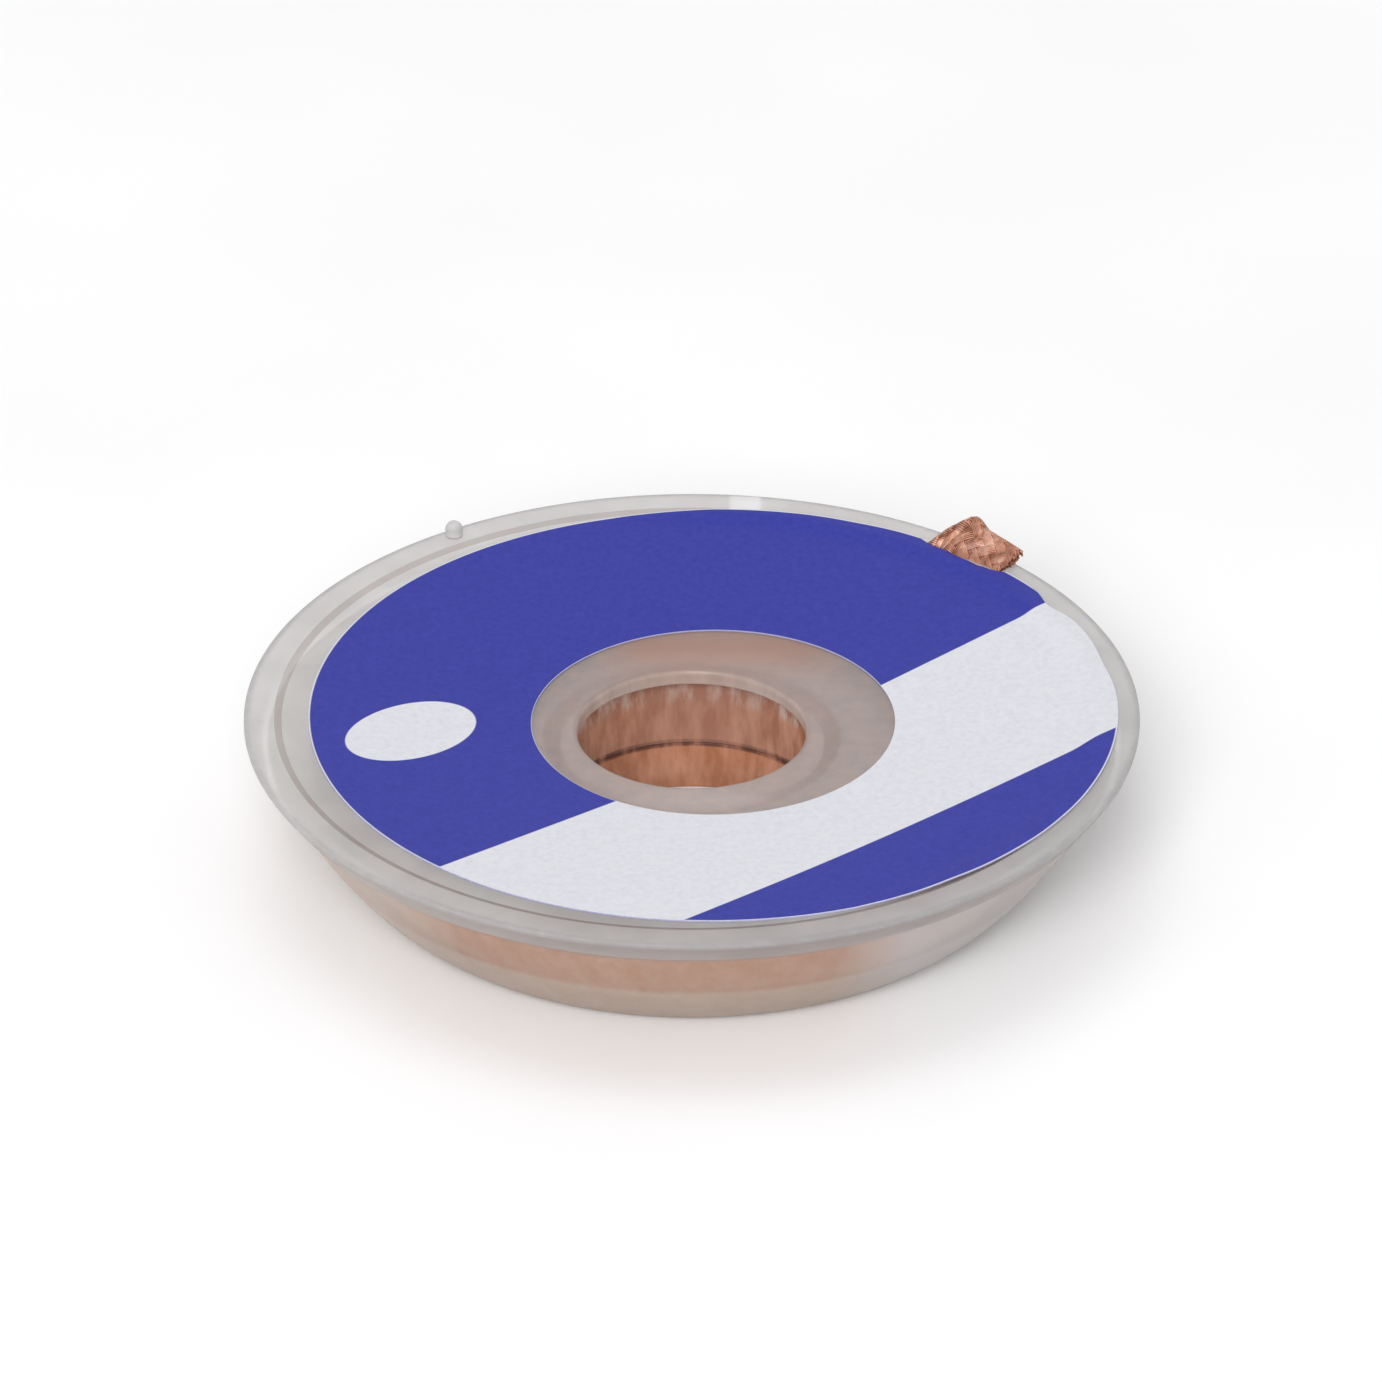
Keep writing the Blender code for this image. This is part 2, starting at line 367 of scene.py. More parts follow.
@dataclass(frozen=True)
class Zone:
    """A turned region of the bobbin, where a painted colour covers the milky plastic.

    Radii and heights are in metres. The region fades out over the given distance at its bounds.
    Its colour runs in soft upright streaks from the tint to the glint, a painted highlight.
    Most zones paint the glow of the copper that shines through the walls.
    """

    inner: float
    outer: float
    low: float
    high: float
    fade: float
    tint: str
    glint: str
    opacity: float
    contrast: float = 0.3
    middle: float = 0.55

    def mask(self, tree: Tree, radius: Socket, height: Socket) -> Socket:
        """Draw the region.

        Args:
            tree: Node tree of the material.
            radius: Distance from the bobbin's axis.
            height: Height above the table.

        Returns:
            The socket that is 1 inside the region and 0 outside it.
        """
        bounds = (
            (radius, self.inner - self.fade, self.inner),
            (radius, self.outer + self.fade, self.outer),
            (height, self.low - self.fade, self.low),
            (height, self.high + self.fade, self.high),
        )
        return soft_steps(tree, bounds, "MULTIPLY", "SMOOTHSTEP")

    def stops(self) -> tuple[tuple[float, str], tuple[float, str]]:
        """Place the tint and the glint on the streaks' brightness."""
        half = self.contrast / 2
        return (self.middle - half, self.tint), (self.middle + half, self.glint)


@dataclass(frozen=True)
class Patch:
    """Soft-edged oblong on a moulding, seen from above, where the plastic is painted another colour.

    Each one is painted light: a highlight on the rim, the copper glow through the ledge, and
    the paler sides of the bowl, where the view slants through more plastic.
    """

    along: float
    across: float
    half_length: float
    half_width: float
    soft: float
    tint: str
    strength: float = 1.0

    def mask(self, tree: Tree, place: Socket) -> Socket:
        """Draw the oblong.

        Args:
            tree: Node tree of the material.
            place: Place on the object.

        Returns:
            The socket that is the strength on the patch and 0 beside it.
        """
        sides = (("X", self.along, self.half_length), ("Y", self.across, self.half_width))
        bounds = []
        for axis, middle, half in sides:
            part = node(tree, "SeparateXYZ", {"Vector": place}, axis)
            off = node(tree, "Math", {0: part, 1: middle}, operation="SUBTRACT")
            reach = node(tree, "Math", {0: off}, operation="ABSOLUTE")
            bounds.append((reach, half + self.soft, half - self.soft))
        shape = soft_steps(tree, bounds, "MULTIPLY")
        return node(tree, "Math", {0: shape, 1: self.strength}, operation="MULTIPLY")


@dataclass(frozen=True)
class MouldedPolypropylene:
    """Natural polypropylene, injection moulded without pigment.

    It is milky: light passes, but what lies behind shows only as a soft tint. The glow of the
    copper behind its thin walls is painted into its colour, with painted highlight streaks, and its
    upright faces get painted shade. Flow clouds and faint draw marks keep the surface from
    looking like clean glass.
    """

    name: str
    zones: tuple[Zone, ...]
    patches: tuple[Patch, ...] = ()
    clear_tint: str = "#E0DEDD"
    cloudy_tint: str = "#D2CFCE"
    # Painted shade that multiplies the upright faces, and the steepness where it starts and is full
    wall_shade: str = "#D3C9C5"
    level_rise: float = 0.99
    wall_rise: float = 0.965
    opacity: float = 0.6
    transmission: float = 0.3
    roughness: float = 0.36
    ior: float = 1.49
    cloud_size: float = 3.5 * MM
    glint_size: float = 1.0 * MM
    glint_stretch: float = 0.3
    # Real mould grain is finer, and is drawn as coarse as it needs to be to show
    grain_size: float = 0.25 * MM
    draw_mark_width: float = 0.5 * MM
    draw_mark_stretch: float = 0.06
    relief: float = 0.006 * MM

    def build(self) -> bpy.types.Material:
        """Build the material."""
        values = {
            "Transmission Weight": self.transmission,
            "Roughness": self.roughness,
            "IOR": self.ior,
        }
        return new_material(self.name, values, self.patterns)

    def patterns(self, tree: Tree, place: Socket) -> dict[str, Socket]:
        """Draw the clouds, painted shade, painted copper glow and highlights, and the patches.

        Args:
            tree: Node tree of the material.
            place: Place on the object.

        Returns:
            The socket that feeds each input of the shader.
        """
        cloud_look = {"Scale": 1 / self.cloud_size, "Detail": 3.0, "Roughness": 0.5}
        clouds = node(tree, "TexNoise", {"Vector": place, **cloud_look})
        shades = ((0.35, self.cloudy_tint), (0.65, self.clear_tint))
        # The clouds get painted shade on the upright faces
        tint = self.shade_walls(tree, node(tree, "ValToRGB", {"Fac": clouds}, stops=shades))
        plan = node(tree, "VectorMath", {0: place, 1: (1.0, 1.0, 0.0)}, operation="MULTIPLY")
        radius = node(tree, "VectorMath", {0: plan}, "Value", operation="LENGTH")
        height = node(tree, "SeparateXYZ", {"Vector": place}, "Z")
        opacity: float | Socket = self.opacity
        streaks = self.glints(tree, place)
        # Zones paint over the tint: mostly copper glow shining through, streaked with painted
        # highlight
        for zone in self.zones:
            mask = zone.mask(tree, radius, height)
            behind = node(tree, "ValToRGB", {"Fac": streaks}, stops=zone.stops())
            tint = node(tree, "Mix", {0: mask, 6: tint, 7: behind}, 2, data_type="RGBA")
            opacity = node(tree, "Mix", {0: mask, 2: opacity, 3: zone.opacity})
        # Each patch paints light over the tint
        for patch in self.patches:
            parts = {0: patch.mask(tree, place), 6: tint, 7: linear(patch.tint)}
            tint = node(tree, "Mix", parts, 2, data_type="RGBA")
        return {"Base Color": tint, "Alpha": opacity, "Normal": self.surface(tree, place)}

    def glints(self, tree: Tree, place: Socket) -> Socket:
        """Draw the soft upright streaks of painted copper glow and painted highlight.

        Args:
            tree: Node tree of the material.
            place: Place on the object.

        Returns:
            The socket that is low between the streaks and high on them.
        """
        stretch = (1.0, 1.0, self.glint_stretch)
        upright = node(tree, "Mapping", {"Vector": place, "Scale": stretch})
        look = {"Scale": 1 / self.glint_size, "Detail": 4.0, "Roughness": 0.6}
        return node(tree, "TexNoise", {"Vector": upright, **look})

    def shade_walls(self, tree: Tree, tint: Socket) -> Socket:
        """Paint shade on the upright faces of the milky walls, darker than the level faces.

        Args:
            tree: Node tree of the material.
            tint: Colour of the plastic.

        Returns:
            The socket that gives the shaded colour.
        """
        facing = node(tree, "NewGeometry", output="Normal")
        rise = node(tree, "SeparateXYZ", {"Vector": facing}, "Z")
        steep = node(tree, "Math", {0: rise}, operation="ABSOLUTE")
        wall = soft_steps(tree, ((steep, self.level_rise, self.wall_rise),), "MULTIPLY")
        parts = {0: wall, 6: tint, 7: linear(self.wall_shade)}
        return node(tree, "Mix", parts, 2, data_type="RGBA", blend_type="MULTIPLY")

    def surface(self, tree: Tree, place: Socket) -> Socket:
        """Add the mould's fine grain, and the marks that its walls leave as it opens.

        Args:
            tree: Node tree of the material.
            place: Place on the object.

        Returns:
            The socket that gives the bumped normal.
        """
        stretch = (1.0, 1.0, self.draw_mark_stretch)
        upright = node(tree, "Mapping", {"Vector": place, "Scale": stretch})
        mark_look = {"Scale": 1 / self.draw_mark_width, "Detail": 2.0}
        marks = node(tree, "TexNoise", {"Vector": upright, **mark_look})
        grain_look = {"Scale": 1 / self.grain_size, "Detail": 1.0}
        grain = node(tree, "TexNoise", {"Vector": place, **grain_look})
        relief = node(tree, "Math", {0: marks, 1: grain}, operation="ADD")
        return node(tree, "Bump", {"Height": relief, "Distance": self.relief, "Strength": 1.0})


@dataclass(frozen=True)
class DrawnCopper:
    """Bare drawn copper wire, braided flat and dipped in flux.

    Its fresh metal is a random mottle of brown with painted pink highlight and painted shade, and
    dried flux leaves pale dull spots.
    """

    name: str
    weave: Weave
    pink_highlight: str = "#E6BDA9"
    body: str = "#C48F78"
    shadow: str = "#A07561"
    flux: str = "#CFC6BE"
    roughness: float = 0.55
    flux_roughness: float = 0.8
    patch_size: float = 0.8 * MM
    flux_size: float = 1.3 * MM
    flux_from: float = 0.63
    flux_full: float = 0.69
    strand_pitch: float = 0.66 * MM
    strand_turn: float = math.radians(35.0)
    relief: float = 0.05 * MM

    def build(self) -> bpy.types.Material:
        """Build the material."""
        return new_material(self.name, {"Metallic": 1.0}, self.patterns)

    def patterns(self, tree: Tree, place: Socket) -> dict[str, Socket]:
        """Draw the metal's mottle of painted highlight and shade, the spots of flux and the strands.

        Args:
            tree: Node tree of the material.
            place: Place on the object.

        Returns:
            The socket that feeds each input of the shader.
        """
        patch_look = {"Scale": 1 / self.patch_size, "Detail": 4.0, "Roughness": 0.6}
        patches = node(tree, "TexNoise", {"Vector": place, **patch_look})
        # The mottle mixes the brown metal with painted shade and a painted pink highlight
        shades = ((0.3, self.shadow), (0.7, self.pink_highlight), (0.5, self.body))
        metal = node(tree, "ValToRGB", {"Fac": patches}, stops=shades)
        flux_look = {"Scale": 1 / self.flux_size, "Detail": 2.0}
        spots = node(tree, "TexNoise", {"Vector": place, **flux_look})
        spotted = soft_steps(tree, ((spots, self.flux_from, self.flux_full),), "MULTIPLY")
        parts = {0: spotted, 6: metal, 7: linear(self.flux)}
        limits = {"Value": spotted, "To Min": self.roughness, "To Max": self.flux_roughness}
        fed = {
            "Base Color": node(tree, "Mix", parts, 2, data_type="RGBA"),
            "Roughness": node(tree, "MapRange", limits),
        }
        if self.weave is Weave.RELIEF:
            fed["Normal"] = self.strands(tree)
        return fed

    def strands(self, tree: Tree) -> Socket:
        """Draw the braid's crossing strands as relief on a plain strip.

        Args:
            tree: Node tree of the material.

        Returns:
            The socket that gives the bumped normal.
        """
        strand = node(tree, "UVMap", uv_map="strand")
        lanes = {}
        for index, turn in enumerate((self.strand_turn, -self.strand_turn)):
            lane = node(tree, "Mapping", {"Vector": strand, "Rotation": (0.0, 0.0, turn)})
            look = {"Vector": lane, "Scale": WAVE_PERIOD / self.strand_pitch}
            lanes[index] = node(tree, "TexWave", look, "Fac", wave_profile="SIN")
        crossing = node(tree, "Math", lanes, operation="MAXIMUM")
        return node(tree, "Bump", {"Height": crossing, "Distance": self.relief, "Strength": 1.0})


@dataclass(frozen=True)
class PrintedFilm:
    """White paper-backed film, printed in one flat blue.

    The ink is even but not perfectly solid, so the blue has a fine mottle, and a hair of bare
    white shows at the cut edges. The print's own sizes are in millimetres.
    """

    centre: tuple[float, float]
    outer_radius: float
    hole_radius: float
    name: str = "paper_film_printed"
    blue: str = "#373C9D"
    deep_blue: str = "#303492"
    white: str = "#D7D8DE"
    dull_white: str = "#CDCED5"
    band_turn: float = math.radians(40.25)
    band_near: float = 14.75
    band_far: float = 2.84
    oval_along: float = -12.73
    oval_across: float = 8.88
    oval_half_length: float = 3.8
    oval_half_width: float = 2.5
    oval_soft: float = 0.01
    bare_edge: float = 0.07
    bare_hole_edge: float = 0.02
    ink_edge: float = 0.03
    # The ink's real mottle is finer, and is drawn as coarse as it needs to be to show
    mottle_size: float = 0.35 * MM
    relief: float = 0.004 * MM
    roughness: float = 0.46
    specular: float = 0.12

    def build(self) -> bpy.types.Material:
        """Build the material."""
        values = {"Roughness": self.roughness, "Specular IOR Level": self.specular}
        return new_material(self.name, values, self.patterns)

    def patterns(self, tree: Tree, place: Socket) -> dict[str, Socket]:
        """Draw the print and the paper's fine mottle.

        Args:
            tree: Node tree of the material.
            place: Place on the object.

        Returns:
            The socket that feeds each input of the shader.
        """
        frame_look = {
            "Location": (*self.centre, 0.0),
            "Rotation": (0.0, 0.0, self.band_turn),
            "Scale": (MM, MM, MM),
        }
        sheet = node(tree, "Mapping", {"Vector": place, **frame_look}, vector_type="TEXTURE")
        mottle_look = {"Scale": 1 / self.mottle_size, "Detail": 3.0, "Roughness": 0.6}
        mottle = node(tree, "TexNoise", {"Vector": place, **mottle_look})
        blues = ((0.3, self.deep_blue), (0.7, self.blue))
        whites = ((0.25, self.dull_white), (0.6, self.white))
        parts = {
            0: self.bare_places(tree, sheet),
            6: node(tree, "ValToRGB", {"Fac": mottle}, stops=blues),
            7: node(tree, "ValToRGB", {"Fac": mottle}, stops=whites),
        }
        bump = {"Height": mottle, "Distance": self.relief, "Strength": 1.0}
        return {
            "Base Color": node(tree, "Mix", parts, 2, data_type="RGBA"),
            "Normal": node(tree, "Bump", bump),
        }

    def bare_places(self, tree: Tree, sheet: Socket) -> Socket:
        """Say where no ink lies: on the band, in the oval and along the cut edges.

        Args:
            tree: Node tree of the material.
            sheet: Place on the label in millimetres, with X along the band.

        Returns:
            The socket that is 1 on bare film and 0 on ink.
        """
        across = node(tree, "SeparateXYZ", {"Vector": sheet}, "Y")
        middle = -(self.band_near + self.band_far) / 2
        half = (self.band_near - self.band_far) / 2
        off_middle = node(tree, "Math", {0: across, 1: middle}, operation="SUBTRACT")
        distance = node(tree, "Math", {0: off_middle}, operation="ABSOLUTE")
        oval_look = {
            "Location": (self.oval_along, self.oval_across, 0.0),
            "Scale": (self.oval_half_length, self.oval_half_width, 1e6),
        }
        flat = node(tree, "Mapping", {"Vector": sheet, **oval_look}, vector_type="TEXTURE")
        reach = node(tree, "VectorMath", {0: flat}, "Value", operation="LENGTH")
        plan = node(tree, "VectorMath", {0: sheet, 1: (1.0, 1.0, 0.0)}, operation="MULTIPLY")
        radius = node(tree, "VectorMath", {0: plan}, "Value", operation="LENGTH")
        rim = self.outer_radius / MM - self.bare_edge
        hole = self.hole_radius / MM + self.bare_hole_edge
        bounds = (
            (distance, half + self.ink_edge, half - self.ink_edge),
            (reach, 1 + self.oval_soft, 1 - self.oval_soft),
            (radius, rim - self.ink_edge, rim + self.ink_edge),
            (radius, hole + self.ink_edge, hole - self.ink_edge),
        )
        return soft_steps(tree, bounds, "MAXIMUM")


@dataclass(frozen=True)
class MottledMatte:
    """Matte surface whose tone wanders a little from place to place."""

    name: str
    light: str
    dark: str
    patch: float
    roughness: float
    specular: float

    def build(self) -> bpy.types.Material:
        """Build the material."""
        values = {"Roughness": self.roughness, "Specular IOR Level": self.specular}
        return new_material(self.name, values, self.patterns)

    def patterns(self, tree: Tree, place: Socket) -> dict[str, Socket]:
        """Draw the wandering tone from the place on the object, for the base colour."""
        patches = node(tree, "TexNoise", {"Vector": place, "Scale": 1 / self.patch})
        shades = ((0.3, self.dark), (0.7, self.light))
        return {"Base Color": node(tree, "ValToRGB", {"Fac": patches}, stops=shades)}


# Cut paper is plain white fibre. Its edge is tinted by the ink beside it and darkened as painted
# shade along the cut. It is matte and shows no gloss.
SHADED_CUT_EDGE = MottledMatte("paper_film_cut_edge", "#B0B0D0", "#9A9BC0", 0.2 * MM, 0.7, 0.5)
# A pale painted table top is all but even, and dull enough to mirror nothing.
PALE_TABLE = MottledMatte("table_pale_matte", "#FAFAFB", "#F6F6F7", 30.0 * MM, 0.75, 0.2)


@dataclass
class FreeEnd:
    """The braid's cut end: a flat strip of woven wires that leans out over the rim."""

    roll_radius: float
    roll_top: float
    rim_inner_radius: float
    face_top: float
    width: float = 2.5 * MM
    thickness: float = 0.5 * MM
    start_lean: float = math.radians(28.0)
    end_lean: float = math.radians(42.0)
    start_angle: float = math.radians(66.0)
    rise_start_angle: float = math.radians(60.5)
    rise_end_angle: float = math.radians(50.3)
    cut_angle: float = math.radians(43.8)
    end_angle: float = math.radians(41.4)
    foot_setback: float = 0.1 * MM
    foot_drop: float = 0.53 * MM
    dip: float = 0.35 * MM
    # Real wires are about half as thick, with twice as many in a bundle
    wire_radius: float = 0.06 * MM
    wire_sides: int = 6
    crease: float = 60.0
    wire_step: float = 0.14 * MM
    wire_spare: float = 1.0 * MM
    carriers: int = 8
    wires_per_carrier: int = 6
    wire_spacing: float = 0.107 * MM
    braid_turn: float = math.radians(38.0)
    weave_depth: float = 0.06 * MM
    edge_radius: float = 0.12 * MM
    fray_short: float = -0.18 * MM
    fray_long: float = 0.108 * MM
    dog_ear: float = 0.35 * MM
    dog_ear_angle: float = math.radians(50.0)
    dog_ear_spread: float = math.radians(1.5)
    ripple: float = 0.1 * MM
    ripple_length: float = 2.1 * MM
    ripple_origin: tuple[float, float, float] = (4.0, 1.0, 7.0)
    probe: float = 0.01
    measure_steps: int = 400
    passage_steps: int = 30
    seed: int = 11
    lengths: list[float] = field(default_factory=list)
    angles: list[float] = field(default_factory=list)

    def __post_init__(self) -> None:
        """Measure the strip's middle line, so that wires can be laid by length."""
        span = self.start_angle - self.end_angle
        travelled, last = 0.0, self.middle(self.start_angle, 0.5)
        for step in range(self.measure_steps + 1):
            angle = self.start_angle - span * step / self.measure_steps
            here = self.middle(angle, 0.5)
            travelled += (here - last).length
            last = here
            self.lengths.append(travelled)
            self.angles.append(angle)

    def middle(self, angle: float, across: float) -> Vector:
        """Give a place on the strip's middle surface.

        Args:
            angle: Angle about the bobbin's axis.
            across: 0 at the strip's lower edge and 1 at its upper edge.

        Returns:
            The place.
        """
        rise_span = self.rise_start_angle - self.rise_end_angle
        climb = smooth((self.rise_start_angle - angle) / rise_span)
        past = (self.rise_end_angle - angle) / (self.rise_end_angle - self.end_angle)
        lean = self.start_lean + (self.end_lean - self.start_lean) * climb
        start_radius = self.roll_radius + FIT_GAP + self.thickness / 2 / math.cos(self.start_lean)
        end_radius = self.rim_inner_radius - self.foot_setback
        start_height = self.roll_top - self.width * math.cos(self.start_lean)
        end_height = self.face_top - self.foot_drop
        fold = math.exp(-(((angle - self.dog_ear_angle) / self.dog_ear_spread) ** 2))
        reach = self.width * across + self.dog_ear * fold * max(across - 0.5, 0.0) * 2
        radius = start_radius + (end_radius - start_radius) * climb + reach * math.sin(lean)
        height = start_height + (end_height - start_height) * climb - self.dip * max(past, 0.0)
        height += reach * math.cos(lean)
        return Vector((radius * math.cos(angle), radius * math.sin(angle), height))

    def surface(self, angle: float, across: float, lift: float) -> Vector:
        """Give a place at a distance from the strip's middle surface, which is crumpled.

        Args:
            angle: Angle about the bobbin's axis.
            across: 0 at the strip's lower edge and 1 at its upper edge.
            lift: Distance outwards from the middle surface.

        Returns:
            The place.
        """
        here = self.middle(angle, across)
        along = self.middle(angle - self.probe, across) - here
        upward = self.middle(angle, across + self.probe) - here
        normal = upward.cross(along).normalized()
        crumple = noise.noise(here / self.ripple_length + Vector(self.ripple_origin))
        return here + normal * (lift + self.ripple * crumple * 2)

    def section(self, travelled: float) -> tuple[float, float]:
        """Walk round the flattened tube that the wires are braided on.

        Args:
            travelled: Distance round the tube's section.

        Returns:
            Share of the strip's width, and lift from its middle surface.
        """
        flat = self.width - 2 * self.edge_radius
        bend = math.pi * self.edge_radius
        travelled %= 2 * (flat + bend)
        inner = self.edge_radius / self.width
        if travelled < flat:
            return inner + travelled / self.width, self.edge_radius
        if travelled < flat + bend:
            turn = (travelled - flat) / self.edge_radius
            return 1 - inner + inner * math.sin(turn), self.edge_radius * math.cos(turn)
        if travelled < 2 * flat + bend:
            return 1 - inner - (travelled - flat - bend) / self.width, -self.edge_radius
        turn = (travelled - 2 * flat - bend) / self.edge_radius
        return inner - inner * math.sin(turn), -self.edge_radius * math.cos(turn)

    def angle_at(self, travelled: float) -> float:
        """Give the angle about the axis at a distance from the strip's hidden end."""
        index = bisect.bisect_left(self.lengths, travelled)
        if index < len(self.lengths):
            return self.angles[index]
        rate = (self.angles[-1] - self.angles[-2]) / (self.lengths[-1] - self.lengths[-2])
        return self.angles[-1] + rate * (travelled - self.lengths[-1])

    def wire(self, way: int, carrier: int, offset: float, trim: float) -> list[Vector]:
        """Lay one wire from the hidden end to the cut.

        Args:
            way: 1 or -1, the way that the wire turns round the strip.
            carrier: Number of the bundle that the wire belongs to.
            offset: Distance of the wire from its bundle's middle.
            trim: Distance by which the wire stands past the cut.

        Returns:
            Points of the wire's middle line.
        """
        girth = 2 * (self.width - 2 * self.edge_radius) + 2 * math.pi * self.edge_radius
        lane = girth / self.carriers
        points = []
        travelled = 0.0
        while travelled < self.lengths[-1] + self.wire_spare:
            drift = math.tan(self.braid_turn) * travelled
            round_it = carrier * lane + way * drift
            other = (round_it + way * drift) / lane
            crossing = math.cos(math.pi / 2 * (carrier + other) - math.pi / 4)
            across, lift = self.section(round_it + offset)
            angle = self.angle_at(travelled)
            end = self.cut_angle + (self.end_angle - self.cut_angle) * across
            if angle < end - trim / self.rim_inner_radius:
                break
            side = 1 if lift > 0 else -1
            lift += side * way * crossing * self.weave_depth
            points.append(self.surface(angle, across, lift))
            travelled += self.wire_step
        return points

    def build(self) -> Item:
        """Weave the free end, with every wire in one mesh, and return it."""
        chance = random.Random(self.seed)
        wires = []
        for way in (1, -1):
            for carrier in range(self.carriers):
                for place in range(self.wires_per_carrier):
                    offset = (place - (self.wires_per_carrier - 1) / 2) * self.wire_spacing
                    trim = chance.uniform(self.fray_short, self.fray_long)
                    path = self.wire(way, carrier, offset, trim)
                    wires.append(tube(path, self.wire_radius, self.wire_sides))
        name = "braid_free_end_weave"
        item = add_object(name, joined(name, wires))
        shade_round(item, self.crease)
        return item

    def passage(self, clearance: float) -> Item:
        """Make the solid that the slot in the bobbin is cut with.

        Args:
            clearance: Distance that the slot leaves round the strip.

        Returns:
            The cutter.
        """
        turn = clearance / self.rim_inner_radius
        start = self.start_angle + turn
        low, high = -clearance / self.width, 1 + clearance / self.width
        lift = self.thickness / 2 + clearance
        rings = []
        for step in range(self.passage_steps + 1):
            ring = []
            for across, side in ((low, 1), (high, 1), (high, -1), (low, -1)):
                end = self.cut_angle + (self.end_angle - self.cut_angle) * across - turn
                angle = start + (end - start) * (step / self.passage_steps)
                normal = self.surface(angle, across, 1.0) - self.surface(angle, across, 0.0)
                ring.append(self.middle(angle, across) + normal * side * lift)
            rings.append(ring)
        return add_object("slot_cutter", loft("slot_cutter", rings))

    def dress(self, item: Item) -> None:
        """Give the free end its copper."""
        item.data.materials.append(DrawnCopper("copper_wire_drawn_woven", Weave.WIRES).build())


@dataclass
class Bobbin:
    """The milky bobbin: a flanged upper half and a bowl, each with half of the hub."""

    rim_radius: float = 23.0 * MM
    rim_width: float = 1.64 * MM
    rim_step: float = 0.12 * MM
    step_run: float = 0.4 * MM
    rim_taper: float = 1.0 * MM
    flange_underside: float = 6.7 * MM
    flange_thickness: float = 0.55 * MM
    dish_depth: float = 0.73 * MM
    hub_radius: float = 7.6 * MM
    hub_wall: float = 0.8 * MM
    hub_draft: float = 0.5 * MM
    bore_radius: float = 5.85 * MM
    lip_thickness: float = 0.85 * MM
    joint_height: float = 2.4 * MM
    joint_gap: float = 0.03 * MM
    joint_round: float = 0.04 * MM
    bottom_radius: float = 16.5 * MM
    bottom_thickness: float = 0.9 * MM
    bowl_setback: float = 0.3 * MM
    bowl_wall: float = 0.8 * MM
    bowl_bulge_radius: float = 18.8 * MM
    bowl_bulge_height: float = 1.35 * MM
    nub_radius: float = 0.46 * MM
    nub_height: float = 0.85 * MM
    nub_angle: float = math.radians(124.0)
    edge_round: float = 0.12 * MM
    # The rim's swell and two wider fillets, as multiples of the edge's
    rim_swell: float = 0.4
    rim_rounding: float = 1.6
    bore_rounding: float = 3.0
    seam: float = 0.03 * MM
    slot_clearance: float = 0.15 * MM
    tint_fade: float = 0.3 * MM
    # Reach of the ledge's tint and height where the bowl's tints meet, as shares
    ledge_reach: float = 1.4
    waist: float = 0.55
    turn_steps: int = 240
    bowl_steps: int = 22

    @property
    def rim_inner_radius(self) -> float:
        """Radius of the raised rim's inner side."""
        return self.rim_radius - self.rim_width

    @property
    def ledge_top(self) -> float:
        """Height of the face beside the hole."""
        return self.flange_underside + self.flange_thickness

    @property
    def face_top(self) -> float:
        """Height of the face beside the rim."""
        return self.ledge_top + self.dish_depth

    @property
    def rim_top(self) -> float:
        """Height of the rim."""
        return self.face_top + self.rim_step

    @property
    def bowl_top_radius(self) -> float:
        """Outer radius of the bowl where it meets the flange."""
        return self.rim_radius - self.rim_taper - self.bowl_setback

    @property
    def hub_inner(self) -> float:
        """Inner radius of the hub tube."""
        return self.hub_radius - self.hub_wall

    def face_height(self, radius: float) -> float:
        """Height of the dished face at a distance from the axis."""
        share = (radius - self.hub_radius) / (self.rim_inner_radius - self.hub_radius)
        return self.ledge_top + self.dish_depth * min(max(share, 0.0), 1.0)

    def bowl_side(self, inset: float = 0.0) -> Profile:
        """Draw the bowl's side from its rim to its floor.

        Args:
            inset: Distance by which the line is moved inwards.

        Returns:
            The line's points.
        """
        foot = Vector((self.bottom_radius, 0.0))
        bulge = Vector((self.bowl_bulge_radius, self.bowl_bulge_height))
        rim = Vector((self.bowl_top_radius, self.flange_underside - self.seam))
        points = []
        for step in range(self.bowl_steps + 1):
            t = 1.0 - step / self.bowl_steps
            place = foot * (1 - t) ** 2 + bulge * 2 * t * (1 - t) + rim * t * t
            slope = ((bulge - foot) * (1 - t) + (rim - bulge) * t).normalized()
            points.append((place.x - inset * slope.y, place.y + inset * slope.x))
        return points

    def room_at(self, height: float, clearance: float) -> float:
        """Find the largest radius that fits in the bowl.

        Args:
            height: Height above the table.
            clearance: Distance kept to the bowl's inner side.

        Returns:
            The radius.
        """
        line = self.bowl_side(self.bowl_wall + clearance)
        for (r_high, z_high), (r_low, z_low) in zip(line, line[1:]):
            if z_low <= height <= z_high:
                return r_low + (r_high - r_low) * (height - z_low) / (z_high - z_low)
        return line[-1][0]

    def upper_profile(self) -> Profile:
        """Draw the upper half: rim, flange, hub tube, lip, ledge and dished face."""
        hub_end = self.joint_height + self.joint_gap / 2
        lip_under = self.ledge_top - self.lip_thickness
        edge = self.edge_round
        return rounded(
            (
                (self.rim_radius + self.rim_swell * edge, self.rim_top, self.rim_rounding * edge),
                (self.rim_radius - self.rim_taper, self.flange_underside, edge),
                (self.hub_radius, self.flange_underside, edge),
                (self.hub_radius, hub_end, edge),
                (self.hub_inner, hub_end, self.joint_round),
                (self.hub_inner, lip_under, edge),
                (self.bore_radius, lip_under, edge),
                (self.bore_radius, self.ledge_top, self.bore_rounding * edge),
                (self.hub_radius, self.ledge_top, edge),
                (self.rim_inner_radius - self.step_run, self.face_top, edge),
                (self.rim_inner_radius, self.rim_top, edge),
            )
        )

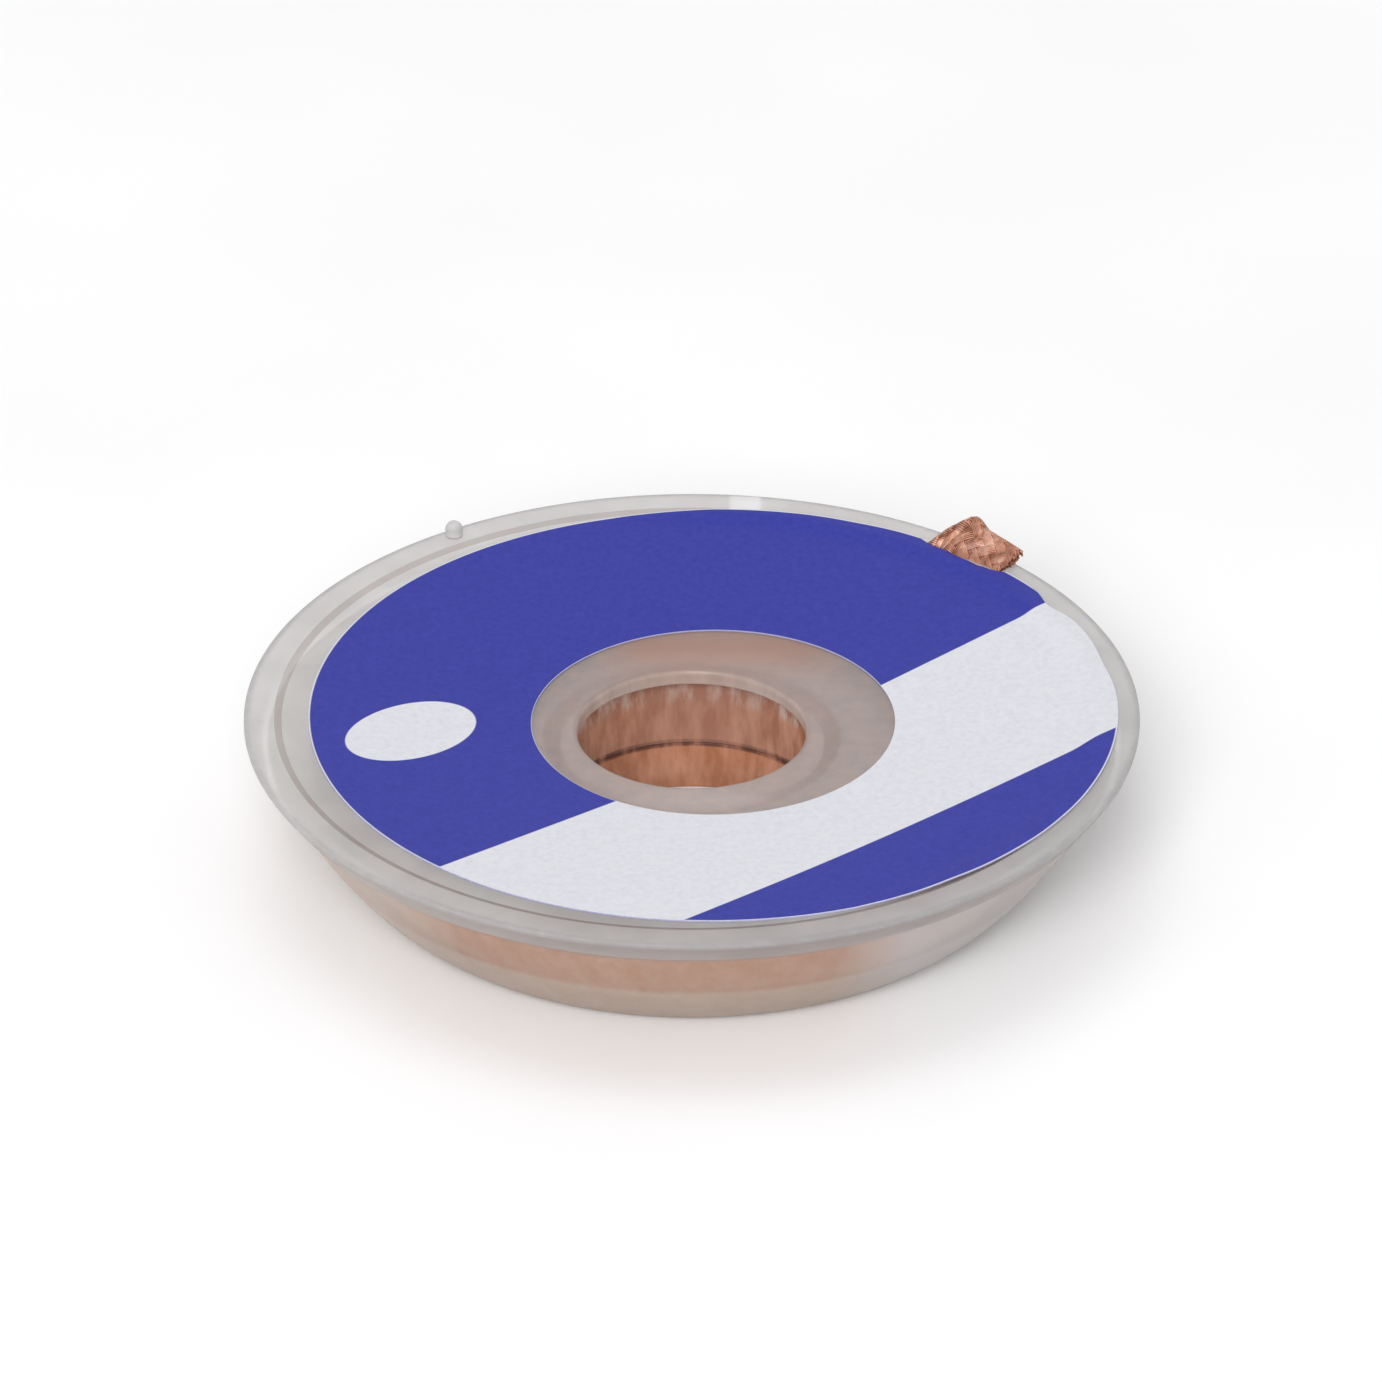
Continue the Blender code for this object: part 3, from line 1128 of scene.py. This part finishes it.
    def lower_profile(self) -> Profile:
        """Draw the lower half: bowl, flat bottom and hub tube."""
        hub_end = self.joint_height - self.joint_gap / 2
        edge = self.edge_round
        outside = [(r, z, 0.0) for r, z in self.bowl_side()]
        inside = [
            (r, z, 0.0) for r, z in self.bowl_side(self.bowl_wall) if z > self.bottom_thickness
        ]
        inside[0] = (inside[0][0], outside[0][1], 0.0)
        return rounded(
            (
                *outside,
                (self.hub_inner - self.hub_draft, 0.0, edge),
                (self.hub_inner, hub_end, self.joint_round),
                (self.hub_radius, hub_end, edge),
                (self.hub_radius, self.bottom_thickness, edge),
                *reversed(inside),
            )
        )

    def nub(self) -> Item:
        """Make the small rounded pip that stands on the rim, as a solid that reaches into it."""
        shape = bmesh.new()
        bmesh.ops.create_uvsphere(shape, u_segments=28, v_segments=18, radius=self.nub_radius)
        for vert in shape.verts:
            if vert.co.z < 0:
                vert.co.z -= self.nub_height - self.nub_radius
        item = add_object("nub", finish_mesh("nub", shape))
        place = self.rim_radius - self.rim_width / 2
        item.location = (
            place * math.cos(self.nub_angle),
            place * math.sin(self.nub_angle),
            self.rim_top + self.nub_height - self.nub_radius,
        )
        return item

    def build(self, free_end: FreeEnd) -> tuple[Item, Item]:
        """Turn both halves, and cut the slot that the braid comes out of.

        Args:
            free_end: The braid's end that the slot is cut for.

        Returns:
            The upper and the lower half.
        """
        profiles = {
            "bobbin_upper_half": self.upper_profile(),
            "bobbin_lower_half": self.lower_profile(),
        }
        upper, lower = (
            add_object(name, turned(name, profile, self.turn_steps))
            for name, profile in profiles.items()
        )
        nub = self.nub()
        slot = free_end.passage(self.slot_clearance)
        combine(upper, nub, "UNION")
        combine(upper, slot, "DIFFERENCE")
        combine(lower, slot, "DIFFERENCE")
        for half in (upper, lower):
            bake_modifiers(half)
            shade_round(half)
        for guide in (nub, slot):
            bpy.data.objects.remove(guide, do_unlink=True)
        return upper, lower

    def dress(self, upper: Item, lower: Item) -> None:
        """Give both halves their plastic.

        Args:
            upper: The upper half.
            lower: The lower half.
        """
        fade = self.tint_fade
        lip = self.ledge_top - self.lip_thickness
        waist = self.waist * self.flange_underside
        beyond = 2 * self.rim_radius
        tube = (0.0, self.hub_radius + fade)
        bowl = (self.hub_radius + 2 * fade, self.rim_radius)
        joint = (self.joint_height - fade / 3, self.joint_height + fade / 2, fade / 2)
        # The joint's thin dark line, widened by painted shade along it
        joint_line_and_shade = Zone(*tube, *joint, "#6E4738", "#B98169", 0.95, 0.1)
        # The hub tube's zones paint the copper glow through its thin wall, streaked with painted
        # highlight, with paler painted highlights near the lip
        upper_tube = Zone(*tube, self.joint_height, lip - fade, fade, "#C68767", "#FFC8AA", 0.8)
        tube_top = Zone(*tube, lip - 4 * fade, lip, 2 * fade, "#C58D74", "#FFEDE4", 0.85, 0.16)
        ledge = (0.0, self.ledge_reach * self.hub_radius, lip, self.rim_top, fade)
        edge = (0.0, self.bore_radius, lip, self.rim_top, fade / 2)
        rim_edge_shade = (self.rim_radius - fade, beyond, self.face_top, self.rim_top, fade)
        nub = (0.0, beyond, self.rim_top + fade / 2, 2 * self.rim_top, fade / 4)
        # Painted copper glow through the lower hub wall, streaked with painted highlight
        lower_tube = Zone(*tube, -fade, self.joint_height, fade / 3, "#C88562", "#F0B190", 0.9)
        flange = (
            upper_tube,
            tube_top,
            joint_line_and_shade,
            # A faint painted copper glow with pink painted glints on the ledge
            Zone(*ledge, "#B3A8A6", "#CAB4AC", 0.7, 0.5),
            # A painted highlight along the lip of the bore
            Zone(*edge, "#CFC0B7", "#E6D6CB", 0.85),
            # Painted shade on the rim's rounded outer edge
            Zone(*rim_edge_shade, "#BDBABB", "#C9C7C7", 0.7),
            Zone(*nub, "#D6D3D2", "#DEDCDB", 0.7),
        )
        bowls = (
            lower_tube,
            joint_line_and_shade,
            # The bowl's zones paint the copper glow seen through its wall, pale below the waist
            Zone(*bowl, -fade, waist, 2 * fade, "#CFB8A7", "#DCC9BB", 0.7, 0.5),
            Zone(*bowl, waist, lip - fade, 2 * fade, "#C99C82", "#D6B6A3", 0.65, 0.5),
        )
        # A painted highlight on the far side of the rim
        rim_highlight = Patch(2.8 * MM, 21.8 * MM, 0.8 * MM, 0.75 * MM, 0.12 * MM, "#F6F5F6")
        # Painted copper glow through the far side of the ledge
        ledge_copper_glow = Patch(1.6 * MM, 8.2 * MM, 5.6 * MM, 1.8 * MM, 1.6 * MM, "#C99885", 0.75)
        # The bowl's right and left sides are painted paler, where the view slants through more
        # plastic
        right = Patch(19.0 * MM, 0.0, 10.0 * MM, beyond, 2.0 * MM, "#E4DFDE", 0.85)
        left = Patch(-22.5 * MM, 0.0, 9.0 * MM, beyond, 2.2 * MM, "#EADBD0", 0.8)
        finishes = (
            (upper, MouldedPolypropylene("polypropylene_moulded_flange", flange, (ledge_copper_glow, rim_highlight))),
            (lower, MouldedPolypropylene("polypropylene_moulded_bowl", bowls, (right, left))),
        )
        for half, finish in finishes:
            half.data.materials.clear()
            half.data.materials.append(finish.build())


@dataclass
class Winding:
    """The braid on the bobbin: two widths of it, wound in a flat spiral each."""

    hub_radius: float
    floor: float
    ceiling: float
    outer_radius: float
    room_at_floor: float
    width: float = 2.5 * MM
    thickness: float = 0.5 * MM
    end_angle: float = math.radians(67.0)
    turn_gap: float = 0.01 * MM
    edge_radius: float = 0.16 * MM
    steps_per_turn: int = 96
    step_over: float = 0.08
    wander: float = 0.05 * MM
    wander_rate: float = 1.7

    def band(self, low: float, outer: float) -> list[Ring]:
        """Wind one width of braid, each turn a circle that steps over onto the next.

        Args:
            low: Height of its lower edge.
            outer: Outer radius of the last turn.

        Returns:
            A ring of section points for each step.
        """
        turns = int((outer - self.hub_radius) / self.thickness)
        pitch = (outer - self.hub_radius) / turns
        half_deep = pitch / 2 - self.turn_gap
        cut = self.edge_radius
        high = low + self.width
        section = (
            (-half_deep, low + cut),
            (-half_deep, high - cut),
            (-half_deep + cut, high),
            (half_deep - cut, high),
            (half_deep, high - cut),
            (half_deep, low + cut),
            (half_deep - cut, low),
            (-half_deep + cut, low),
        )
        rings = []
        for step in range(turns * self.steps_per_turn + 1):
            turn = step / self.steps_per_turn
            whole = min(int(turn), turns - 1)
            over = smooth((turn - whole - 1 + self.step_over) / self.step_over)
            over = over if whole < turns - 1 else 0.0
            angle = self.end_angle + 2 * math.pi * (turns - turn)
            radius = self.hub_radius + pitch * (whole + 0.5 + over)
            drift = noise.noise(Vector((turn * self.wander_rate, low / MM, 0.0))) * self.wander
            across, away = math.cos(angle), math.sin(angle)
            reaches = [(radius + r, z + drift) for r, z in section]
            rings.append([Vector((r * across, r * away, z)) for r, z in reaches])
        return rings

    def strand(self, row: int, column: int) -> tuple[float, float]:
        """Give the place on the braid, measured along it and round it.

        Args:
            row: Step along the winding.
            column: Point of the section.

        Returns:
            Both distances.
        """
        turn = row / self.steps_per_turn
        along = 2 * math.pi * (self.hub_radius * turn + self.thickness * turn * turn / 2)
        return along, self.width if 1 <= column <= 4 else 0.0

    def build(self) -> Item:
        """Wind both widths, and return them as one object."""
        gap = (self.ceiling - self.floor - 2 * self.width) / 3
        lower = self.floor + gap
        bands = (
            (lower, min(self.outer_radius - self.thickness, self.room_at_floor)),
            (lower + self.width + gap, self.outer_radius),
        )
        meshes = [loft("band", self.band(*place), strand=self.strand) for place in bands]
        item = add_object("braid_winding", joined("braid_winding", meshes))
        shade_round(item)
        return item

    def dress(self, item: Item) -> None:
        """Give the winding its copper."""
        item.data.materials.append(DrawnCopper("copper_braid_wound", Weave.RELIEF).build())


@dataclass
class RingLabel:
    """The printed ring of film, laid off centre, so that it climbs over the rim on one side."""

    bobbin: Bobbin
    centre: tuple[float, float] = (1.1 * MM, 0.35 * MM)
    outer_radius: float = 20.7 * MM
    hole_radius: float = 9.3 * MM
    thickness: float = 0.07 * MM
    lie: float = 0.02 * MM
    climb_width: float = 1.4 * MM
    climb_blend: float = 0.3 * MM
    lift: float = 0.02 * MM
    wave_length: float = 2.4 * MM
    rings: int = 26
    ring_crowding: float = 1.8
    turn_steps: int = 288
    notch_from: float = math.radians(40.5)
    notch_to: float = math.radians(58.0)
    notch_blend: float = math.radians(3.0)
    notch_depth: float = 0.7 * MM
    notch_radius: float = 21.25 * MM
    notch_ragged: float = 0.12 * MM
    ragged_rate: float = 90.0
    ragged_row: float = 3.0
    dent_fade: int = 4
    dents: tuple[tuple[float, float, float], ...] = (
        (math.radians(30.5), math.radians(3.2), 0.4 * MM),
        (math.radians(13.0), math.radians(5.0), 0.14 * MM),
    )

    def height(self, x: float, y: float) -> float:
        """Height of the film's underside at a place, with its small waves.

        Args:
            x: Distance to the right of the bobbin's axis.
            y: Distance behind the bobbin's axis.

        Returns:
            The height.
        """
        radius, turn = math.hypot(x, y), math.atan2(y, x)
        rim = self.bobbin.rim_inner_radius - self.bobbin.step_run
        overlap = self.outer_radius - rim
        overlap += self.centre[0] * math.cos(turn) + self.centre[1] * math.sin(turn)
        held = min(max(overlap / self.climb_blend + 0.5, 0.0), 1.0)
        climb = smooth((radius - rim) / self.climb_width + 1.0) * held
        base = self.bobbin.face_height(min(radius, rim - self.climb_width * held))
        wave = noise.noise(Vector((x, y, 0.0)) / self.wave_length)
        rise = (self.bobbin.rim_top - base) * climb
        return base + rise + self.lie + self.lift * climb * (1 + wave)

    def place(self, angle: float, share: float) -> Vector:
        """Give a place on the film.

        Args:
            angle: Angle about the label's own centre.
            share: 0 at the hole's edge and 1 at the outer edge.

        Returns:
            The place on the film's underside.
        """
        radius = self.hole_radius + (self.outer_radius - self.hole_radius) * share
        x = self.centre[0] + radius * math.cos(angle)
        y = self.centre[1] + radius * math.sin(angle)
        reach, turn = math.hypot(x, y), math.atan2(y, x)
        for at, spread, depth in self.dents:
            dent = depth * math.exp(-(((turn - at) / spread) ** 2)) * share ** self.dent_fade
            x, y = x * (1 - dent / reach), y * (1 - dent / reach)
        reach = math.hypot(x, y)
        into = min(turn - self.notch_from, self.notch_to - turn) / self.notch_blend
        into = min(max(into, 0.0), 1.0)
        chance = noise.noise(Vector((turn * self.ragged_rate, 0.0, self.ragged_row)))
        limit = self.notch_radius + self.notch_ragged * chance * into
        limit += (1 - into) * self.notch_depth
        if reach > limit:
            x, y = x * limit / reach, y * limit / reach
        return Vector((x, y, self.height(x, y)))

    def build(self) -> Item:
        """Lay the film with its print, and return it."""
        shape = bmesh.new()
        shares = [1 - (1 - ring / self.rings) ** self.ring_crowding for ring in range(self.rings + 1)]
        angles = [2 * math.pi * step / self.turn_steps for step in range(self.turn_steps)]
        rows = [[shape.verts.new(self.place(a, share)) for share in shares] for a in angles]
        for first, second in zip(rows, rows[1:] + rows[:1]):
            for ring in range(self.rings):
                shape.faces.new((first[ring], first[ring + 1], second[ring + 1], second[ring]))
        item = add_object("ring_label", finish_mesh("ring_label", shape))
        film = PrintedFilm(self.centre, self.outer_radius, self.hole_radius)
        item.data.materials.append(film.build())
        item.data.materials.append(SHADED_CUT_EDGE.build())
        body = item.modifiers.new("film", "SOLIDIFY")
        body.thickness = self.thickness
        body.offset = 1.0
        body.material_offset_rim = 1
        bake_modifiers(item)
        shade_round(item)
        return item


@dataclass
class Studio:
    """The table, the soft lights and the camera at the photograph's angle."""

    image_span: float = 1382.0
    pixels_per_mm: float = 450.0 / 23.0
    camera_reach: float = 15000.0
    elevation: float = math.radians(30.26)
    aim_column: float = 691.8
    aim_row: float = 715.3
    aim_height: float = 8.0 * MM
    sensor: float = 36.0
    table_side: float = 3.0
    world_colour: str = "#FFFFFF"
    world_strength: float = 0.58
    # Name, place, side in metres and power in watts of each light
    lights: tuple[tuple[str, tuple[float, float, float], float, float], ...] = (
        ("key", (-0.1, -0.6, 0.42), 0.3, 3.4),
        ("top", (-0.1, 0.1, 0.7), 0.4, 0.9),
        ("behind", (0.1, 0.8, 0.5), 0.5, 0.5),
    )

    def build_camera(self) -> None:
        """Place the camera, so that the rim's middle falls on its pixel of the photograph."""
        data = bpy.data.cameras.new("camera")
        data.sensor_width = self.sensor
        data.lens = self.sensor * self.camera_reach / self.image_span
        camera = add_object("camera", data)
        back = Vector((0.0, -math.cos(self.elevation), math.sin(self.elevation)))
        up = Vector((0.0, math.sin(self.elevation), math.cos(self.elevation)))
        centre = self.image_span / 2
        right = (self.aim_column - centre) / self.pixels_per_mm * MM
        rise = (centre - self.aim_row) / self.pixels_per_mm * MM
        aim = Vector((0.0, 0.0, self.aim_height)) - Vector((right, 0.0, 0.0)) - up * rise
        camera.location = aim + back * self.camera_reach / self.pixels_per_mm * MM
        camera.rotation_euler = (math.pi / 2 - self.elevation, 0.0, 0.0)
        bpy.context.scene.camera = camera

    def build_table(self) -> None:
        """Lay the pale table top that the bobbin rests on."""
        shape = bmesh.new()
        bmesh.ops.create_grid(shape, x_segments=1, y_segments=1, size=self.table_side / 2)
        table = add_object("table", finish_mesh("table", shape))
        table.data.materials.append(PALE_TABLE.build())

    def build_lights(self) -> None:
        """Light the table with a soft key in front, and weaker lights above and behind."""
        world = bpy.data.worlds.new("studio")
        world.use_nodes = True
        background = world.node_tree.nodes["Background"]
        background.inputs["Color"].default_value = linear(self.world_colour)
        background.inputs["Strength"].default_value = self.world_strength
        bpy.context.scene.world = world
        for name, place, side, power in self.lights:
            data = bpy.data.lights.new(name, "AREA")
            data.size = side
            data.energy = power
            light = add_object(name, data)
            light.location = place
            light.rotation_euler = (-Vector(place)).to_track_quat("-Z", "Y").to_euler()
        bpy.context.scene.view_settings.view_transform = "Standard"

    def build(self) -> None:
        """Set up the camera, the table and the lights."""
        self.build_camera()
        self.build_table()
        self.build_lights()


def main() -> None:
    """Build the stage and every piece of the spool."""
    logging.basicConfig(level=logging.INFO, format="%(name)s: %(message)s")
    Studio().build()
    bobbin = Bobbin()
    roll_radius = bobbin.bowl_top_radius - ROLL_SETBACK
    roll_top = bobbin.flange_underside - FIT_GAP
    free_end = FreeEnd(roll_radius, roll_top, bobbin.rim_inner_radius, bobbin.face_top)
    upper, lower = bobbin.build(free_end)
    bobbin.dress(upper, lower)
    hand_over(upper, "spool_upper_half", Slot.PLASTIC)
    hand_over(lower, "spool_lower_half", Slot.PLASTIC)
    floor = bobbin.bottom_thickness + FIT_GAP
    room = bobbin.room_at(floor, FIT_GAP)
    winding = Winding(bobbin.hub_radius + FIT_GAP, floor, roll_top, roll_radius, room)
    wound = winding.build()
    winding.dress(wound)
    hand_over(wound, "braid_roll", Slot.COPPER)
    woven = free_end.build()
    free_end.dress(woven)
    hand_over(woven, "braid_free_end", Slot.COPPER)
    hand_over(RingLabel(bobbin).build(), "label", Slot.FILM)


if __name__ == "__main__":
    main()
